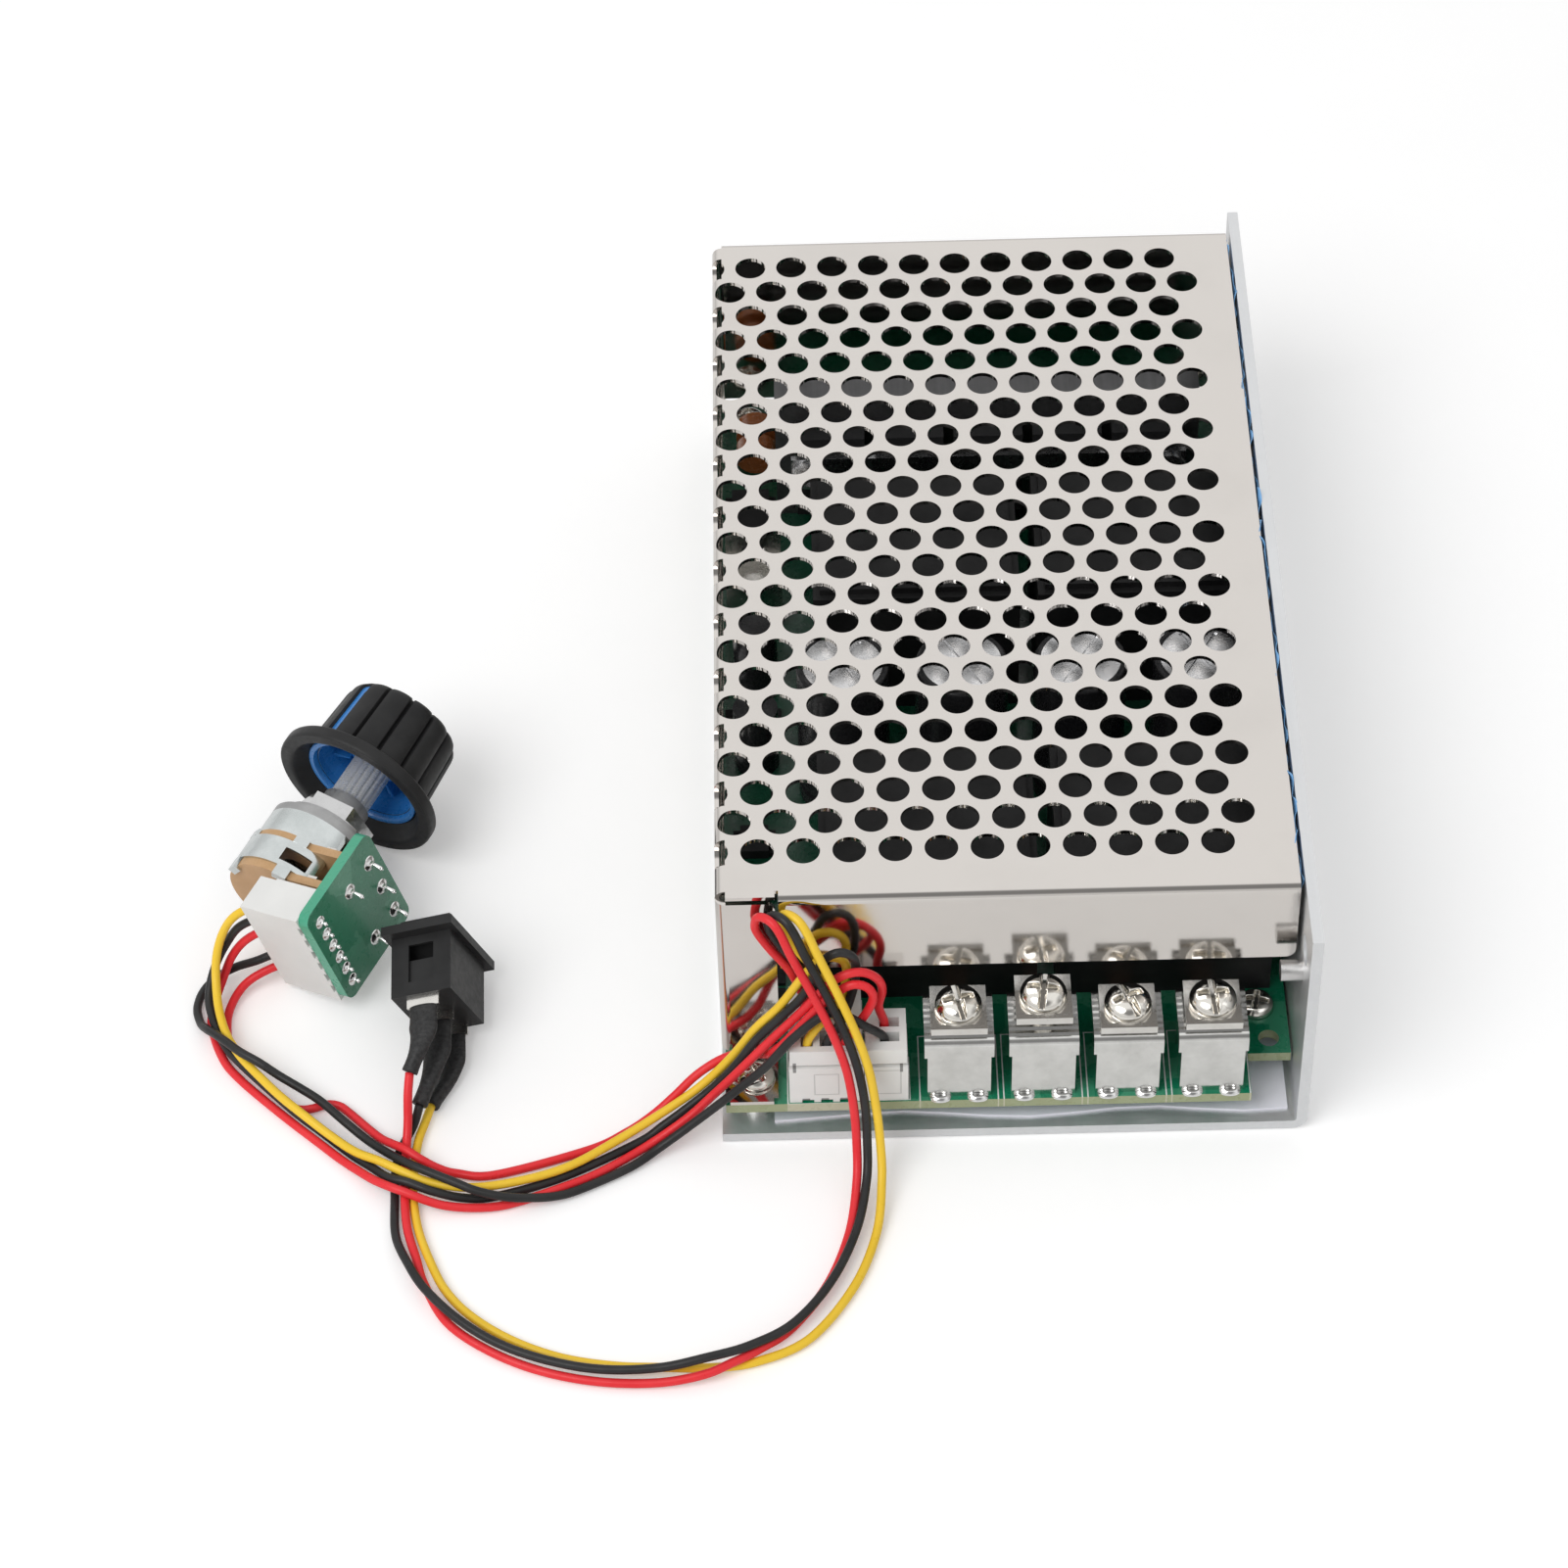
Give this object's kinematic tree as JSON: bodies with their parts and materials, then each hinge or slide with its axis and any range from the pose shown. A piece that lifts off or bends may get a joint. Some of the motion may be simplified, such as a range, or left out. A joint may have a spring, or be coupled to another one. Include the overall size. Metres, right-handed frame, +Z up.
{
  "type": "dc motor speed controller",
  "caption": "Open-front metal case under a perforated cover, with screw terminals, and a speed knob and a rocker switch on leads; it sets a brushed motor's speed and direction.",
  "frame": {"origin": "centre of the base plate's underside", "axes": "+X toward the plate's upright wall, +Y from the terminals to the back, +Z up from the base plate"},
  "size_m": [0.1507, 0.182, 0.038],
  "materials": {
    "plate": "satin natural aluminium sheet",
    "stud": "plain steel",
    "sheet": "thin translucent film",
    "spacer": "nickel plated",
    "board": "green solder mask",
    "screw_steel": "bright nickel plate",
    "cover": "mirror polished stainless sheet",
    "film": "blue film",
    "bar_aluminium": "plain extruded",
    "black_resin": "moulded resin",
    "spring_steel": "plain",
    "capacitor_sleeve": "shrunk sleeve",
    "capacitor_can": "plain can",
    "black_plastic": "moulded nylon",
    "tinned_metal": "tin plate",
    "orange_resin": "dipped resin",
    "copper": "tinned copper strip",
    "terminal_metal": "tin plated brass",
    "washer_steel": "nickel plate",
    "solder": "bright solder",
    "white_nylon": "natural white nylon",
    "pot_shell": "tin plated sheet",
    "tan_laminate": "phenolic laminate",
    "cast_nose": "die cast zinc",
    "chrome_nut": "bright nickel",
    "shaft_metal": "turned and splined",
    "knob_plastic": "fine matt",
    "blue_plastic": "moulded",
    "shrink_sleeve": "heat shrunk tube",
    "lead_red": "vinyl",
    "lead_black": "vinyl",
    "lead_yellow": "vinyl"
  },
  "bodies": {
    "case": {"chassis": "plate", "earth_stud": "stud", "insulating_sheet": "sheet", "standoffs": "spacer", "main_board": "board", "board_screws": "screw_steel", "cover": "cover", "foot_screw": "screw_steel", "film_strip": "film", "heat_sink": "bar_aluminium", "power_transistors": "black_resin", "transistor_clamp": "spring_steel", "capacitors": "capacitor_sleeve", "capacitor_tops": "capacitor_can", "relays": "black_plastic", "chips": "black_resin", "small_capacitors": "capacitor_sleeve", "signal_parts": "black_resin", "regulator": "tinned_metal", "disc_capacitors": "orange_resin", "current_links": "copper", "terminal_1": "terminal_metal", "terminal_2": "terminal_metal", "terminal_3": "terminal_metal", "terminal_4": "terminal_metal", "terminal_solder": "solder", "board_sockets": "white_nylon", "board_plugs": "white_nylon", "pot_case": "pot_shell", "pot_wafers": "tan_laminate", "pot_lugs": "tinned_metal", "pot_bush": "cast_nose", "pot_nut": "chrome_nut", "pot_board": "board", "pot_solder": "solder", "pot_socket": "white_nylon", "pot_plug": "white_nylon", "switch_body": "black_plastic", "switch_lugs": "tinned_metal", "lug_sleeves": "shrink_sleeve", "switch_wire_red": "lead_red", "switch_wire_black": "lead_black", "switch_wire_yellow": "lead_yellow", "pot_wire_yellow": "lead_yellow", "pot_wire_black": "lead_black", "pot_wire_red": "lead_red", "pot_wire_black_2": "lead_black", "pot_wire_red_2": "lead_red"},
    "speed_knob": {"pot_shaft": "shaft_metal", "knob": "knob_plastic", "knob_insert": "blue_plastic"},
    "rocker": {"switch_rocker": "black_plastic"},
    "washer_1": {"clamp_washer_1": "washer_steel"},
    "screw_1": {"terminal_screw_1": "screw_steel"},
    "washer_2": {"clamp_washer_2": "washer_steel"},
    "screw_2": {"terminal_screw_2": "screw_steel"},
    "washer_3": {"clamp_washer_3": "washer_steel"},
    "screw_3": {"terminal_screw_3": "screw_steel"},
    "washer_4": {"clamp_washer_4": "washer_steel"},
    "screw_4": {"terminal_screw_4": "screw_steel"}
  },
  "joints": [
    {"name": "knob_turn", "type": "hinge", "parent": "case", "child": "speed_knob", "pos_m": [-0.0946, -0.02594, 0.01076], "axis": [0.4829, 0.8651, 0.1355], "range_deg": [-224, 76]},
    {"name": "switch_rock", "type": "hinge", "parent": "case", "child": "rocker", "pos_m": [-0.07745, -0.04492, 0.00872], "axis": [-0.9491, 0.0536, -0.3104], "range_deg": [-10, 10]},
    {"name": "clamp_slide_1", "type": "slide", "parent": "case", "child": "washer_1", "axis": [0, 0, 1], "range_m": [-0.0009, 0.0021]},
    {"name": "screw_turn_1", "type": "hinge", "parent": "washer_1", "child": "screw_1", "pos_m": [-0.0074, -0.0645, 0.0174], "axis": [0, 0, 1], "range_deg": [-540, 1260]},
    {"name": "clamp_slide_2", "type": "slide", "parent": "case", "child": "washer_2", "axis": [0, 0, 1], "range_m": [-0.0027, 0.0003]},
    {"name": "screw_turn_2", "type": "hinge", "parent": "washer_2", "child": "screw_2", "pos_m": [0.00375, -0.0645, 0.0174], "axis": [0, 0, 1], "range_deg": [-1620, 180]},
    {"name": "clamp_slide_3", "type": "slide", "parent": "case", "child": "washer_3", "axis": [0, 0, 1], "range_m": [-0.0004, 0.0026]},
    {"name": "screw_turn_3", "type": "hinge", "parent": "washer_3", "child": "screw_3", "pos_m": [0.0149, -0.0645, 0.0174], "axis": [0, 0, 1], "range_deg": [-240, 1560]},
    {"name": "clamp_slide_4", "type": "slide", "parent": "case", "child": "washer_4", "axis": [0, 0, 1], "range_m": [-0.0008, 0.0022]},
    {"name": "screw_turn_4", "type": "hinge", "parent": "washer_4", "child": "screw_4", "pos_m": [0.02605, -0.0645, 0.0174], "axis": [0, 0, 1], "range_deg": [-480, 1320]}
  ],
  "couplings": [
    {"joint": "screw_turn_1", "follows": "clamp_slide_1", "rad_per_m": 10472},
    {"joint": "screw_turn_2", "follows": "clamp_slide_2", "rad_per_m": 10472},
    {"joint": "screw_turn_3", "follows": "clamp_slide_3", "rad_per_m": 10472},
    {"joint": "screw_turn_4", "follows": "clamp_slide_4", "rad_per_m": 10472}
  ]
}
